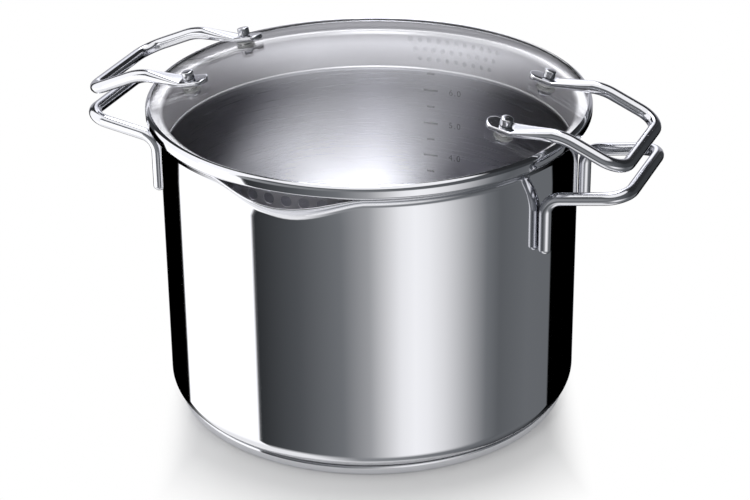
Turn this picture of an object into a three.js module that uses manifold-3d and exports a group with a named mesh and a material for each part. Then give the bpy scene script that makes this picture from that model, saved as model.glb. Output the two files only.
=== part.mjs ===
// Stockpot with a straining lid: a steel pot with two pouring lips and a sandwich base, and a domed
// glass lid whose rolled steel rim holds a perforated skirt that hangs inside the pot.
// Millimetres, +Z up, origin at the centre of the base's underside.
// The handles lie along X, the coarse strainer and its pouring lip face -Y, the fine ones +Y.

import * as THREE from 'three';
import { mergeVertices } from 'three/addons/utils/BufferGeometryUtils.js';
import Module from 'manifold-3d';

const wasm = await Module();
wasm.setup();

// Gaps
const fitGap = 0.3;
const boreGap = 0.3;

// Pot shell
const potInnerRadius = 120;
const potWall = 1;
const potLipHeight = 175.6;
const potCornerRadius = 10;
const potLipFlare = 5;
const potLipRise = 7.1;

// Pouring lips: how far they pass the plain lip, how far they dip, how much lower they start
const spoutHalfAngle = 21;
const spoutFullness = 1.5;
const spoutReach = 7;
const spoutDip = 5.6;
const spoutDepth = 10.2;

// Sandwich base
const baseRadius = 116;
const baseCapWall = 0.6;
const baseCapCorner = 1.5;
const coreThickness = 4;

// Rods of the handles
const rodDiameter = 7.4;
const rodEndRound = 3;

// Pot handles
const potHandleSpread = 72.8;
const potHandleReach = 44.3;
const potHandleFootDrop = 55;
const potHandleShoulderDrop = 21.8;
const potHandleTilt = 9.5;
const potHandleShoulderBend = 10;
const handleCornerBend = 13;

// Lid rim and skirt
const rimOverhang = 2.4;
const rimWall = 0.8;
const rimCorner = 1.2;
const rimFootCorner = 2;
const rimLegLap = 1;
const rimLipWidth = 2.8;
const skirtGap = 2;
const skirtWall = 0.8;
const skirtDrop = 23.5;
const skirtHem = 2.6;
const skirtSeatWidth = 2.4;
const skirtSeatRise = 2.4;

// Strainer holes
const coarseAzimuth = -90;
const coarseHoleDiameter = 6.6;
const coarseRowCounts = [9, 8];
const coarsePitch = 10.3;
const coarseRowDrop = 8.5;
const coarseRowStep = 8.8;
const fineAzimuth = 85;
const fineHoleDiameter = 3.2;
const fineRowCounts = [11, 10, 9];
const finePitch = 6;
const fineRowDrop = 3;
const fineRowStep = 6;

// Domed glass
const glassThickness = 4;
const domeRadius = 420;

// Lid handles
const footInset = 26.5;
const footSpread = 73.6;
const tabWidth = 12.6;
const tabThickness = 3;
const tabInnerLength = 11;
const tabOuterLength = 4;
const tabEndRound = 4;
const tabTaper = 4;
const lidHandleRise = 0.3;
const lidHandleDroop = 24;
const lidHandleReach = 34.4;
const lidHandleShoulderBend = 32;
const tabBend = 12;

// Fasteners of the lid handles
const screwDiameter = 4;
const screwHeadDiameter = 8.4;
const screwHeadHeight = 2.4;
const screwEngagement = 3;
const nutDiameter = 7;
const nutHeight = 4.6;
const nutChamfer = 0.5;
const washerDiameter = 11;
const washerThickness = 1;
const glassHoleDiameter = 6;

// Facets
const roundSegments = 72;
const arcSteps = 3;
const bendSteps = 4;
const rodSides = 10;
const smallSegments = 12;
const fineHoleSides = 6;
const coarseHoleSides = 10;

// Levels and radii that follow from the sizes above
const potOuterRadius = potInnerRadius + potWall;
const potFloor = baseCapWall + fitGap + coreThickness + fitGap;
const lipSlope = new THREE.Vector2(2 * potLipFlare, potLipRise).normalize();
const potTop = potLipHeight + potWall * lipSlope.x;
const potLipRadius = potOuterRadius + potLipFlare;
const potLipInnerEdge = potLipRadius - potWall * lipSlope.y;
const rimBottom = potTop + fitGap;
const rimOuterRadius = potLipRadius + rimOverhang;
const rimInnerRadius = rimOuterRadius - rimWall;
const rimLegEdge = potLipInnerEdge - rimLegLap;
const flangeBottom = rimBottom + rimWall + fitGap;
const flangeTop = flangeBottom + skirtWall;
const skirtOuterRadius = potInnerRadius - skirtGap;
const skirtSeatStart = flangeBottom - skirtSeatRise;
const skirtBottom = rimBottom - skirtDrop;
const glassRadius = rimInnerRadius - fitGap;
const glassInnerDome = domeRadius - glassThickness;
const domeCentre = flangeTop + fitGap - Math.sqrt(glassInnerDome ** 2 - glassRadius ** 2);
const rodRadius = rodDiameter / 2;
const footRadius = rimOuterRadius - footInset;
const footAlongX = Math.sqrt(footRadius ** 2 - (footSpread / 2) ** 2);

const glassTopAt = (r) => domeCentre + Math.sqrt(domeRadius ** 2 - r ** 2);
const glassBottomAt = (r) => domeCentre + Math.sqrt(glassInnerDome ** 2 - r ** 2);

// Finishes
const steel = (roughness) => new THREE.MeshStandardMaterial({ color: 0xc9cacc, metalness: 1, roughness });
const finishes = {
  polishedSteel: () => steel(0.08),
  satinSteel: () => steel(0.3),
  aluminium: () => new THREE.MeshStandardMaterial({ color: 0xb8babd, metalness: 1, roughness: 0.5 }),
  glass: () => new THREE.MeshStandardMaterial({
    color: 0xeef2f2,
    roughness: 0.03,
    transparent: true,
    opacity: 0.25,
  }),
  silicone: () => new THREE.MeshStandardMaterial({ color: 0xd9dcde, roughness: 0.5 }),
};

// Solids for cutting
function solidOf(geometry) {
  const bare = geometry.clone();
  bare.deleteAttribute('normal');
  bare.deleteAttribute('uv');
  const merged = mergeVertices(bare);
  return new wasm.Manifold(new wasm.Mesh({
    numProp: 3,
    vertProperties: new Float32Array(merged.attributes.position.array),
    triVerts: new Uint32Array(merged.index.array),
  }));
}

function geometryOf(solid) {
  const mesh = solid.getMesh();
  const geometry = new THREE.BufferGeometry();
  geometry.setAttribute('position', new THREE.BufferAttribute(mesh.vertProperties, 3));
  geometry.setIndex(new THREE.BufferAttribute(mesh.triVerts, 1));
  geometry.computeVertexNormals();
  return geometry;
}

function cutAll(geometry, cutters) {
  let solid = solidOf(geometry);
  for (const cutter of cutters) solid = solid.subtract(solidOf(cutter));
  return geometryOf(solid);
}

// A profile of [radius, height] points turned round the Z axis
function turned(profile, segments) {
  const points = profile.map(([r, z]) => new THREE.Vector2(r, z));
  return new THREE.LatheGeometry(points, segments).rotateX(Math.PI / 2);
}

// Points of a round corner about a centre, from one angle to another in degrees
function corner(centreR, centreZ, radius, from, to) {
  const points = [];
  for (let i = 0; i <= arcSteps; i += 1) {
    const angle = THREE.MathUtils.degToRad(from + ((to - from) * i) / arcSteps);
    points.push([centreR + radius * Math.cos(angle), centreZ + radius * Math.sin(angle)]);
  }
  return points;
}

// A quarter of an ellipse that leaves upright and arrives level
function seatCurve(startR, startZ, width, rise) {
  const points = [];
  for (let i = 0; i <= arcSteps; i += 1) {
    const angle = (Math.PI / 2) * (i / arcSteps);
    points.push([startR + width * (1 - Math.cos(angle)), startZ + rise * Math.sin(angle)]);
  }
  return points;
}

// Pot shell: 1 in the middle of a pouring lip, 0 where the lip is plain
function spoutShare(azimuth) {
  const fromY = Math.acos(Math.min(1, Math.abs(Math.sin(azimuth))));
  const share = fromY / THREE.MathUtils.degToRad(spoutHalfAngle);
  return share < 1 ? Math.cos((Math.PI / 2) * share) ** spoutFullness : 0;
}

// The flared stretch of the pot wall, offset inwards by a distance
function flare(share, offset) {
  const start = potLipHeight - potLipRise - spoutDepth * share;
  const rise = potLipHeight - spoutDip * share - start;
  const reach = potLipFlare + spoutReach * share;
  const points = [];
  for (let i = 0; i <= arcSteps; i += 1) {
    const t = i / arcSteps;
    const along = new THREE.Vector2(2 * reach * t, rise).normalize();
    points.push([potOuterRadius + reach * t * t - offset * along.y, start + rise * t + offset * along.x]);
  }
  return points;
}

function potProfile(azimuth) {
  const share = spoutShare(azimuth);
  const bendRadius = potOuterRadius - potCornerRadius;
  const bendHeight = potFloor + potCornerRadius;
  return [
    ...corner(bendRadius, bendHeight, potCornerRadius, -90, 0),
    ...flare(share, 0),
    ...flare(share, potWall).reverse(),
    ...corner(bendRadius, bendHeight, potCornerRadius - potWall, 0, -90),
  ];
}

// A shell whose profile changes round the Z axis, closed on the axis below and above its floor
function shellRound(profileAt, lowPole, highPole, segments) {
  const positions = [];
  const indices = [];
  const rings = [];
  for (let j = 0; j < segments; j += 1) {
    const azimuth = (2 * Math.PI * j) / segments - Math.PI / 2;
    rings.push(profileAt(azimuth));
    for (const [r, z] of rings[j]) positions.push(r * Math.cos(azimuth), r * Math.sin(azimuth), z);
  }
  const count = rings[0].length;
  const low = count * segments;
  const high = low + 1;
  positions.push(0, 0, lowPole, 0, 0, highPole);
  for (let j = 0; j < segments; j += 1) {
    const here = j * count;
    const next = ((j + 1) % segments) * count;
    indices.push(low, next, here);
    for (let i = 0; i < count - 1; i += 1) {
      indices.push(here + i, next + i, next + i + 1, here + i, next + i + 1, here + i + 1);
    }
    indices.push(here + count - 1, next + count - 1, high);
  }
  const geometry = new THREE.BufferGeometry();
  geometry.setAttribute('position', new THREE.Float32BufferAttribute(positions, 3));
  geometry.setIndex(indices);
  geometry.computeVertexNormals();
  return geometry;
}

function potShell() {
  return shellRound(potProfile, potFloor, potFloor + potWall, roundSegments);
}

// Height of the pot's underside at a radius
function potUnderside(r) {
  const past = Math.max(r - (potOuterRadius - potCornerRadius), 0);
  return potFloor + potCornerRadius - Math.sqrt(Math.max(potCornerRadius ** 2 - past ** 2, 0));
}

function baseCap() {
  const innerWall = baseRadius - baseCapWall;
  const top = potUnderside(innerWall) - fitGap;
  const bendRadius = baseRadius - baseCapCorner;
  return turned([
    [0, 0],
    ...corner(bendRadius, baseCapCorner, baseCapCorner, -90, 0),
    [baseRadius, top],
    [innerWall, top],
    ...corner(bendRadius, baseCapCorner, baseCapCorner - baseCapWall, 0, -90),
    [0, baseCapWall],
  ], roundSegments);
}

function baseCore() {
  const radius = baseRadius - baseCapCorner - fitGap;
  const bottom = baseCapWall + fitGap;
  return turned([
    [0, bottom],
    [radius, bottom],
    [radius, bottom + coreThickness],
    [0, bottom + coreThickness],
  ], roundSegments);
}

// Glass dome with a hole under each foot of the lid handles
function lidGlass() {
  const domeSteps = 6;
  const top = [];
  const bottom = [];
  for (let i = 0; i <= domeSteps; i += 1) {
    const r = (glassRadius * i) / domeSteps;
    bottom.push([r, glassBottomAt(r)]);
    top.unshift([r, glassTopAt(r)]);
  }
  const holes = feet.map((foot) => footCylinder(foot, glassHoleDiameter / 2, 3 * glassThickness));
  return cutAll(turned([...bottom, ...top], roundSegments), holes);
}

// Rolled channel that grips the edge of the glass and the flange of the skirt
function lidRim() {
  const lipEdge = rimOuterRadius - rimLipWidth;
  const underLip = (r) => glassTopAt(r) + fitGap;
  const overLip = (r) => underLip(r) + rimWall;
  const shoulder = rimOuterRadius - 2 * rimCorner;
  const roll = new THREE.QuadraticBezierCurve(
    new THREE.Vector2(rimOuterRadius, underLip(rimOuterRadius) - rimCorner),
    new THREE.Vector2(rimOuterRadius, overLip(rimOuterRadius)),
    new THREE.Vector2(shoulder, overLip(shoulder)),
  );
  return turned([
    [rimLegEdge, rimBottom],
    ...corner(rimOuterRadius - rimFootCorner, rimBottom + rimFootCorner, rimFootCorner, -90, 0),
    ...roll.getPoints(arcSteps).map((p) => [p.x, p.y]),
    [lipEdge, overLip(lipEdge)],
    [lipEdge, underLip(lipEdge)],
    [rimInnerRadius, underLip(rimInnerRadius)],
    [rimInnerRadius, rimBottom + rimWall],
    [rimLegEdge, rimBottom + rimWall],
    [rimLegEdge, rimBottom],
  ], roundSegments);
}

// Cutters for staggered rows of holes in the skirt, about an azimuth in degrees
function holeRows(azimuth, diameter, sides, rowCounts, pitch, firstDrop, rowStep) {
  const cutters = [];
  const pitchAngle = pitch / skirtOuterRadius;
  const middle = THREE.MathUtils.degToRad(azimuth);
  rowCounts.forEach((count, row) => {
    for (let i = 0; i < count; i += 1) {
      const drill = new THREE.CylinderGeometry(diameter / 2, diameter / 2, 6 * skirtWall, sides);
      drill.rotateZ(Math.PI / 2);
      drill.translate(skirtOuterRadius - skirtWall / 2, 0, rimBottom - firstDrop - row * rowStep);
      drill.rotateZ(middle + (i - (count - 1) / 2) * pitchAngle);
      cutters.push(drill);
    }
  });
  return cutters;
}

function strainerSkirt() {
  const inner = skirtOuterRadius - skirtWall;
  const hemEdge = inner - skirtWall;
  const flangeEdge = rimInnerRadius - fitGap;
  const skirt = turned([
    [hemEdge, skirtBottom],
    [skirtOuterRadius, skirtBottom],
    ...seatCurve(skirtOuterRadius, skirtSeatStart, skirtSeatWidth, skirtSeatRise),
    [flangeEdge, flangeBottom],
    [flangeEdge, flangeTop],
    ...seatCurve(inner, skirtSeatStart, skirtSeatWidth + skirtWall, skirtSeatRise + skirtWall).reverse(),
    [inner, skirtBottom + skirtHem],
    [hemEdge, skirtBottom + skirtHem],
    [hemEdge, skirtBottom],
  ], roundSegments);
  const coarse = holeRows(coarseAzimuth, coarseHoleDiameter, coarseHoleSides, coarseRowCounts, coarsePitch,
    coarseRowDrop, coarseRowStep);
  const fine = holeRows(fineAzimuth, fineHoleDiameter, fineHoleSides, fineRowCounts, finePitch,
    fineRowDrop, fineRowStep);
  return cutAll(skirt, [...coarse, ...fine]);
}

// Straight runs and round bends along a list of corners: stations with a point and a direction
function bentPath(corners, bends) {
  const stations = [];
  const last = corners.length - 1;
  stations.push({ point: corners[0], along: corners[1].clone().sub(corners[0]).normalize() });
  for (let i = 1; i < last; i += 1) {
    const before = corners[i].clone().sub(corners[i - 1]).normalize();
    const after = corners[i + 1].clone().sub(corners[i]).normalize();
    const turn = before.angleTo(after);
    const axis = before.clone().cross(after).normalize();
    const toCentre = axis.clone().cross(before).multiplyScalar(bends[i - 1]);
    const start = corners[i].clone().addScaledVector(before, -bends[i - 1] * Math.tan(turn / 2));
    const centre = start.clone().add(toCentre);
    for (let k = 0; k <= bendSteps; k += 1) {
      const angle = (turn * k) / bendSteps;
      const point = centre.clone().add(toCentre.clone().negate().applyAxisAngle(axis, angle));
      stations.push({ point, along: before.clone().applyAxisAngle(axis, angle) });
    }
  }
  stations.push({ point: corners[last], along: corners[last].clone().sub(corners[last - 1]).normalize() });
  return stations;
}

// A bar swept along stations from one end to the plane y = 0, then mirrored to the other end.
// Each station has its half width, half height and squareness (1 is round, smaller is squarer).
function mirroredBar(stations, up) {
  const normal = up.clone();
  const rings = stations.map(({ point, along, width, height, square }) => {
    normal.addScaledVector(along, -normal.dot(along)).normalize();
    const side = along.clone().cross(normal);
    const ring = [];
    for (let k = 0; k < rodSides; k += 1) {
      const angle = (2 * Math.PI * (k + 0.5)) / rodSides;
      const across = Math.sign(Math.cos(angle)) * Math.abs(Math.cos(angle)) ** square * width;
      const above = Math.sign(Math.sin(angle)) * Math.abs(Math.sin(angle)) ** square * height;
      ring.push(point.clone().addScaledVector(side, -across).addScaledVector(normal, above));
    }
    return ring;
  });
  const mirrored = rings.slice(0, -1).reverse();
  const all = [...rings, ...mirrored.map((ring) => ring.map((p) => new THREE.Vector3(p.x, -p.y, p.z)))];
  const positions = all.flat().flatMap((p) => [p.x, p.y, p.z]);
  const indices = [];
  for (let j = 0; j < all.length - 1; j += 1) {
    for (let k = 0; k < rodSides; k += 1) {
      const a = j * rodSides + k;
      const b = j * rodSides + ((k + 1) % rodSides);
      indices.push(a, b, b + rodSides, a, b + rodSides, a + rodSides);
    }
  }
  const lastRing = (all.length - 1) * rodSides;
  for (let k = 1; k < rodSides - 1; k += 1) {
    indices.push(0, k + 1, k, lastRing, lastRing + k, lastRing + k + 1);
  }
  const geometry = new THREE.BufferGeometry();
  geometry.setAttribute('position', new THREE.Float32BufferAttribute(positions, 3));
  geometry.setIndex(indices);
  geometry.computeVertexNormals();
  return geometry;
}

// Extra stations that round off the first end of a bar over a length
function roundedEnd(first, length) {
  const shares = [0.03, 0.15, 0.45, 1];
  return shares.map((share) => ({
    ...first,
    point: first.point.clone().addScaledVector(first.along, length * share),
    narrowing: Math.sqrt(1 - (1 - share) ** 2),
  }));
}

// Welded pot handle: up the wall, out over a bend, round the grip
function potHandle() {
  const half = potHandleSpread / 2;
  const axisRadius = potOuterRadius + fitGap + rodRadius;
  const footX = Math.sqrt(axisRadius ** 2 - half ** 2);
  const gripX = potOuterRadius + potHandleReach;
  const shoulderZ = potLipHeight - potHandleShoulderDrop;
  const gripZ = shoulderZ + (gripX - footX) * Math.tan(THREE.MathUtils.degToRad(potHandleTilt));
  const corners = [
    new THREE.Vector3(footX, half, potLipHeight - potHandleFootDrop),
    new THREE.Vector3(footX, half, shoulderZ),
    new THREE.Vector3(gripX, half, gripZ),
    new THREE.Vector3(gripX, 0, gripZ),
  ];
  const path = bentPath(corners, [potHandleShoulderBend, handleCornerBend]);
  const round = { width: rodRadius, height: rodRadius, square: 1 };
  const stations = path.slice(1).map((station) => ({ ...station, ...round }));
  const end = roundedEnd(path[0], rodEndRound).map(({ point, along, narrowing }) => (
    { point, along, square: 1, width: rodRadius * narrowing, height: rodRadius * narrowing }
  ));
  return mirroredBar([...end, ...stations], new THREE.Vector3(1, 0, 0));
}

// Feet of the lid handles: the place on the glass and the way the screw points
const footPlaces = [
  ['right_front', 1, -1],
  ['right_back', 1, 1],
  ['left_front', -1, -1],
  ['left_back', -1, 1],
];
const feet = footPlaces.map(([name, sideX, sideY]) => {
  const seat = new THREE.Vector3(sideX * footAlongX, (sideY * footSpread) / 2, glassTopAt(footRadius));
  const normal = seat.clone().sub(new THREE.Vector3(0, 0, domeCentre)).normalize();
  return { name, seat, normal };
});

// Heights along the screw, from the top of the glass
const washerFloor = fitGap;
const tabFloor = washerFloor + washerThickness + fitGap;
const tabTop = tabFloor + tabThickness;
const nutFloor = tabTop + fitGap;
const lowerWasherTop = -glassThickness - fitGap;
const lowerWasherFloor = lowerWasherTop - washerThickness;
const headTop = lowerWasherFloor - fitGap;
const headFloor = headTop - screwHeadHeight;

function alongFoot(geometry, foot) {
  const turn = new THREE.Quaternion().setFromUnitVectors(new THREE.Vector3(0, 0, 1), foot.normal);
  geometry.applyQuaternion(turn);
  return geometry.translate(foot.seat.x, foot.seat.y, foot.seat.z);
}

function footCylinder(foot, radius, length) {
  return alongFoot(new THREE.CylinderGeometry(radius, radius, length, smallSegments).rotateX(Math.PI / 2), foot);
}

// Lid handle: flattened feet on the glass, a level run, then a drooping grip beyond the rim
function lidHandle() {
  const foot = feet.find(({ name }) => name === 'right_back');
  const outward = new THREE.Vector3(foot.normal.z, 0, -foot.normal.x).normalize();
  const middle = foot.seat.clone().addScaledVector(foot.normal, (tabFloor + tabTop) / 2);
  const tabEnd = middle.clone().addScaledVector(outward, -tabInnerLength);
  const tabOut = middle.clone().addScaledVector(outward, tabOuterLength);
  const shoulderX = rimOuterRadius;
  const shoulderZ = tabOut.z + lidHandleRise;
  const gripX = rimOuterRadius + lidHandleReach;
  const gripZ = shoulderZ - lidHandleReach * Math.tan(THREE.MathUtils.degToRad(lidHandleDroop));
  const corners = [
    tabEnd,
    tabOut,
    new THREE.Vector3(shoulderX, tabOut.y, shoulderZ),
    new THREE.Vector3(gripX, tabOut.y, gripZ),
    new THREE.Vector3(gripX, 0, gripZ),
  ];
  const path = bentPath(corners, [tabBend, lidHandleShoulderBend, handleCornerBend]);
  const flat = { width: tabWidth / 2, height: tabThickness / 2, square: 0.4 };
  const round = { width: rodRadius, height: rodRadius, square: 1 };
  const end = roundedEnd(path[0], tabEndRound).map(({ point, along, narrowing }) => (
    { point, along, ...flat, width: flat.width * narrowing }
  ));
  const taperEnd = path[1 + bendSteps];
  const taper = [0.25, 0.5, 0.75, 1].map((share) => ({
    along: corners[2].clone().sub(corners[1]).normalize(),
    point: taperEnd.point.clone().addScaledVector(taperEnd.along, tabTaper * share),
    width: THREE.MathUtils.lerp(flat.width, round.width, share),
    height: THREE.MathUtils.lerp(flat.height, round.height, share),
    square: THREE.MathUtils.lerp(flat.square, round.square, share),
  }));
  const tab = path.slice(1, 2 + bendSteps).map((station) => ({ ...station, ...flat }));
  const rod = path.slice(2 + bendSteps).map((station) => ({ ...station, ...round }));
  const bar = mirroredBar([...end, ...tab, ...taper, ...rod], foot.normal);
  const holes = feet.slice(0, 2).map((each) => footCylinder(each, screwDiameter / 2 + boreGap, 6 * tabThickness));
  return cutAll(bar, holes);
}

// Pieces of one screw joint, about the screw's own axis
const boreRadius = screwDiameter / 2 + boreGap;

function washer(floor, top) {
  const radius = washerDiameter / 2;
  return turned([
    [boreRadius, floor],
    [radius, floor],
    [radius, top],
    [boreRadius, top],
    [boreRadius, floor],
  ], smallSegments);
}

function capNut() {
  const radius = nutDiameter / 2;
  const top = nutFloor + nutHeight;
  const boreTop = nutFloor + screwEngagement + fitGap;
  return turned([
    [0, boreTop],
    [boreRadius, boreTop],
    [boreRadius, nutFloor],
    [radius, nutFloor],
    [radius, top - nutChamfer],
    [radius - nutChamfer, top],
    [0, top],
  ], smallSegments);
}

function screw() {
  const head = screwHeadDiameter / 2;
  const shank = screwDiameter / 2;
  return turned([
    [0, headFloor],
    [head - screwHeadHeight / 2, headFloor],
    [head, headFloor + screwHeadHeight / 2],
    [head, headTop],
    [shank, headTop],
    [shank, nutFloor + screwEngagement],
    [0, nutFloor + screwEngagement],
  ], smallSegments);
}

// The assembly
const stockpot = new THREE.Group();
const pot = new THREE.Group();
const lid = new THREE.Group();
stockpot.add(pot, lid);

function place(parent, name, geometry, finish) {
  const mesh = new THREE.Mesh(geometry, finish());
  mesh.name = name;
  parent.add(mesh);
  return mesh;
}

place(pot, 'pot_shell', potShell(), finishes.polishedSteel);
place(pot, 'base_core', baseCore(), finishes.aluminium);
place(pot, 'base_cap', baseCap(), finishes.polishedSteel);
place(pot, 'pot_handle_right', potHandle(), finishes.polishedSteel);
place(pot, 'pot_handle_left', potHandle(), finishes.polishedSteel).rotation.z = Math.PI;

place(lid, 'lid_glass', lidGlass(), finishes.glass);
place(lid, 'lid_rim', lidRim(), finishes.polishedSteel);
place(lid, 'strainer_skirt', strainerSkirt(), finishes.satinSteel);
place(lid, 'lid_handle_right', lidHandle(), finishes.polishedSteel);
place(lid, 'lid_handle_left', lidHandle(), finishes.polishedSteel).rotation.z = Math.PI;

for (const foot of feet) {
  const joint = new THREE.Group();
  joint.position.copy(foot.seat);
  joint.quaternion.setFromUnitVectors(new THREE.Vector3(0, 0, 1), foot.normal);
  lid.add(joint);
  place(joint, `cap_nut_${foot.name}`, capNut(), finishes.polishedSteel);
  place(joint, `upper_washer_${foot.name}`, washer(washerFloor, washerFloor + washerThickness), finishes.silicone);
  place(joint, `lower_washer_${foot.name}`, washer(lowerWasherFloor, lowerWasherTop), finishes.silicone);
  place(joint, `screw_${foot.name}`, screw(), finishes.polishedSteel);
}

export default stockpot;
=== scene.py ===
# %% [markdown]
# # A stockpot with a straining lid
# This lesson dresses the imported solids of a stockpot: a mirror-polished pot with two pouring lips, and a
# domed glass lid whose steel rim carries a perforated skirt. The solids are faceted, and facets show at
# once on a mirror. So each piece that is seen gets a smooth twin, turned or bent on the same sizes.
# Everything is in metres, in the frame of the solids: handles along X, coarse strainer towards -Y.

# %% Load the frame
import math
import bpy
from mathutils import Matrix, Quaternion, Vector


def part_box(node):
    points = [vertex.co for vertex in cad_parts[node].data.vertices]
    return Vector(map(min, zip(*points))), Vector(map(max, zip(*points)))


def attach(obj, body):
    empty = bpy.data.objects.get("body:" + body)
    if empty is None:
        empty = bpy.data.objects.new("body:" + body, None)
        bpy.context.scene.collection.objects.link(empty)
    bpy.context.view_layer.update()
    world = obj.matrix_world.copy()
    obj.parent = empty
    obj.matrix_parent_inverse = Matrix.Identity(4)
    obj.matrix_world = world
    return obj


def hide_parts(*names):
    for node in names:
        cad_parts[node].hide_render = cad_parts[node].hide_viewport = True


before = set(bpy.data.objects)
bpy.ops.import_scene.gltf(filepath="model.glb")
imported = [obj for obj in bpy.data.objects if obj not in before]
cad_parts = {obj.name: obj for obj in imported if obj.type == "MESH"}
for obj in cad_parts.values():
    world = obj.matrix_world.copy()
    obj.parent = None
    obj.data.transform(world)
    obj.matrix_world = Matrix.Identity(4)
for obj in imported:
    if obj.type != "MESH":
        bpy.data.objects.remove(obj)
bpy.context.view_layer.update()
MM = 0.001

# %% [markdown]
# ## Tools of the bench
# Most of the pot is turned work. By hand one draws half of a section, one extruded vertex after another,
# and spins it round Z. The spin leaves double points on the seam and on the axis, so these are merged,
# and only then are the normals turned outwards. A sphere or cylinder primitive could not follow the
# sections, and a Screw modifier would hide the same steps.

# %% Turning an outline round the Z axis
ROUND_STEPS = 192
SEAM = 1e-6
SLIVER = 5e-6
MIRROR_SEAM = 10 * SEAM


def deselect_all():
    bpy.ops.object.select_all(action="DESELECT")


def pick(piece):
    """Selects this piece alone and makes it the active one."""
    deselect_all()
    piece.select_set(True)
    bpy.context.view_layer.objects.active = piece


def edit_all():
    bpy.ops.object.mode_set(mode="EDIT")
    bpy.ops.mesh.select_all(action="SELECT")


def end_edit():
    bpy.ops.object.mode_set(mode="OBJECT")


def fix_place():
    """Puts the active object's place, turn and scale into its mesh."""
    bpy.ops.object.transform_apply(location=True, rotation=True, scale=True)


def tidy_normals():
    bpy.ops.mesh.select_all(action="SELECT")
    bpy.ops.mesh.remove_doubles(threshold=SEAM)
    bpy.ops.mesh.normals_make_consistent(inside=False)


def push(step):
    """Extrudes what is selected by a step."""
    bpy.ops.mesh.extrude_region_move(TRANSFORM_OT_translate={"value": step})


def turn_outline(name, outline, steps=ROUND_STEPS):
    """A piece turned from (radius, height) points: vertex by vertex, then a full spin."""
    deselect_all()
    first_radius, first_height = outline[0]
    bpy.ops.mesh.primitive_plane_add(size=MM, location=(first_radius, 0, first_height))
    piece = bpy.context.object
    piece.name = piece.data.name = name
    fix_place()
    bpy.ops.object.mode_set(mode="EDIT")
    bpy.ops.mesh.merge(type="CENTER")
    for (r0, z0), (r1, z1) in zip(outline, outline[1:]):
        push((r1 - r0, 0, z1 - z0))
    bpy.ops.mesh.select_all(action="SELECT")
    bpy.ops.mesh.spin(steps=steps, angle=math.tau, center=(0, 0, 0), axis=(0, 0, 1))
    tidy_normals()
    end_edit()
    print(name, len(piece.data.polygons), "faces")
    return piece


def arc(centre_r, centre_z, radius, start, end, steps=8):
    """Points of a round corner of an outline, from one angle to another in degrees."""
    angles = [math.radians(start + (end - start) * i / steps) for i in range(steps + 1)]
    return [(centre_r + radius * math.cos(a), centre_z + radius * math.sin(a)) for a in angles]


def apply_modifier(piece, kind, **settings):
    """Adds a modifier with these settings to the piece and applies it."""
    pick(piece)
    modifier = piece.modifiers.new(kind.lower(), kind)
    for name, value in settings.items():
        setattr(modifier, name, value)
    bpy.ops.object.modifier_apply(modifier=modifier.name)


def smooth(piece, degrees=35):
    """Smooth shading, with edges sharper than this many degrees kept crisp."""
    pick(piece)
    bpy.ops.object.shade_smooth_by_angle(angle=math.radians(degrees))


def seat(piece, body, node):
    """The piece rides on a body and stands for this solid, which is hidden."""
    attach(piece, body)
    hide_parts(node)


# %% [markdown]
# ## The pot shell
# The real shell is drawn from one steel sheet: flat floor, round corner, straight wall and a lip that
# flares out. Only the outer skin is turned here, because both pouring lips are pushed out of it before
# the sheet gets its thickness. Extra rings near the ends of the straight wall keep its normals level, so
# that reflections run straight up the wall.

# %% Outer skin of the pot
pot_low, pot_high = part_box("pot_shell")
lip_flare = 5.0 * MM
lip_rise = 7.1 * MM
lip_height = 175.6 * MM
pot_wall = 1.0 * MM
pot_corner = 10.0 * MM
pot_radius = pot_high.x - lip_flare
pot_inside = pot_radius - pot_wall
pot_floor = pot_low.z
flare_start = lip_height - lip_rise
FLARE_STEPS = 16

floor_rings = [(pot_radius * share, pot_floor) for share in (0, 0.2, 0.45, 0.7, 0.86)]
corner_points = arc(pot_radius - pot_corner, pot_floor + pot_corner, pot_corner, -90, 0, 12)
corner_top = pot_floor + pot_corner
wall_rings = [(pot_radius, corner_top + rise) for rise in (0.6 * MM, 2 * MM, 6 * MM)]
wall_rings += [(pot_radius, flare_start - drop) for drop in (60 * MM, 16 * MM, 11.5 * MM)]
flare_points = [
    (pot_radius + lip_flare * (i / FLARE_STEPS) ** 2, flare_start + lip_rise * i / FLARE_STEPS)
    for i in range(FLARE_STEPS + 1)
]
pot = turn_outline("pot", floor_rings + corner_points + wall_rings + flare_points)

# An open skin has no inside of its own, so its floor tells whether it has to be turned over
if min(pot.data.polygons, key=lambda face: face.center.length).normal.z > 0:
    edit_all()
    bpy.ops.mesh.flip_normals()
    end_edit()

# %% [markdown]
# A pouring lip is a smooth bulge of the flare, 1 in its middle and 0 at its ends. A tool such as
# proportional editing has no falloff of this kind, so the points of the flare are moved by a short
# formula. Each ring of the flare starts lower and reaches further out where the bulge is full.

# %% Push out the two pouring lips
spout_half_angle = math.radians(21)
spout_fullness = 1.5
spout_reach = 7.0 * MM
spout_dip = 5.6 * MM
spout_depth = 10.2 * MM


def spout_share(x, y):
    from_middle = abs(math.atan2(x, abs(y)))
    if from_middle >= spout_half_angle:
        return 0.0
    return math.cos(math.pi / 2 * from_middle / spout_half_angle) ** spout_fullness


for vertex in pot.data.vertices:
    x, y, z = vertex.co
    share = spout_share(x, y)
    if z > flare_start - SEAM and share > 0:
        along = (z - flare_start) / lip_rise
        start = flare_start - spout_depth * share
        end = lip_height - spout_dip * share
        radius = pot_radius + (lip_flare + spout_reach * share) * along**2
        turned = math.atan2(y, x)
        vertex.co = (radius * math.cos(turned), radius * math.sin(turned), start + (end - start) * along)
pot.data.update()
print("pouring lips reach", round(max(v.co.y for v in pot.data.vertices) / MM, 1), "mm")

# %% [markdown]
# Now the skin gets its thickness. Solidify grows the inner wall inwards, and a small bevel breaks the two
# sharp edges of the lip, which would otherwise be missing their bright line.

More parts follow.
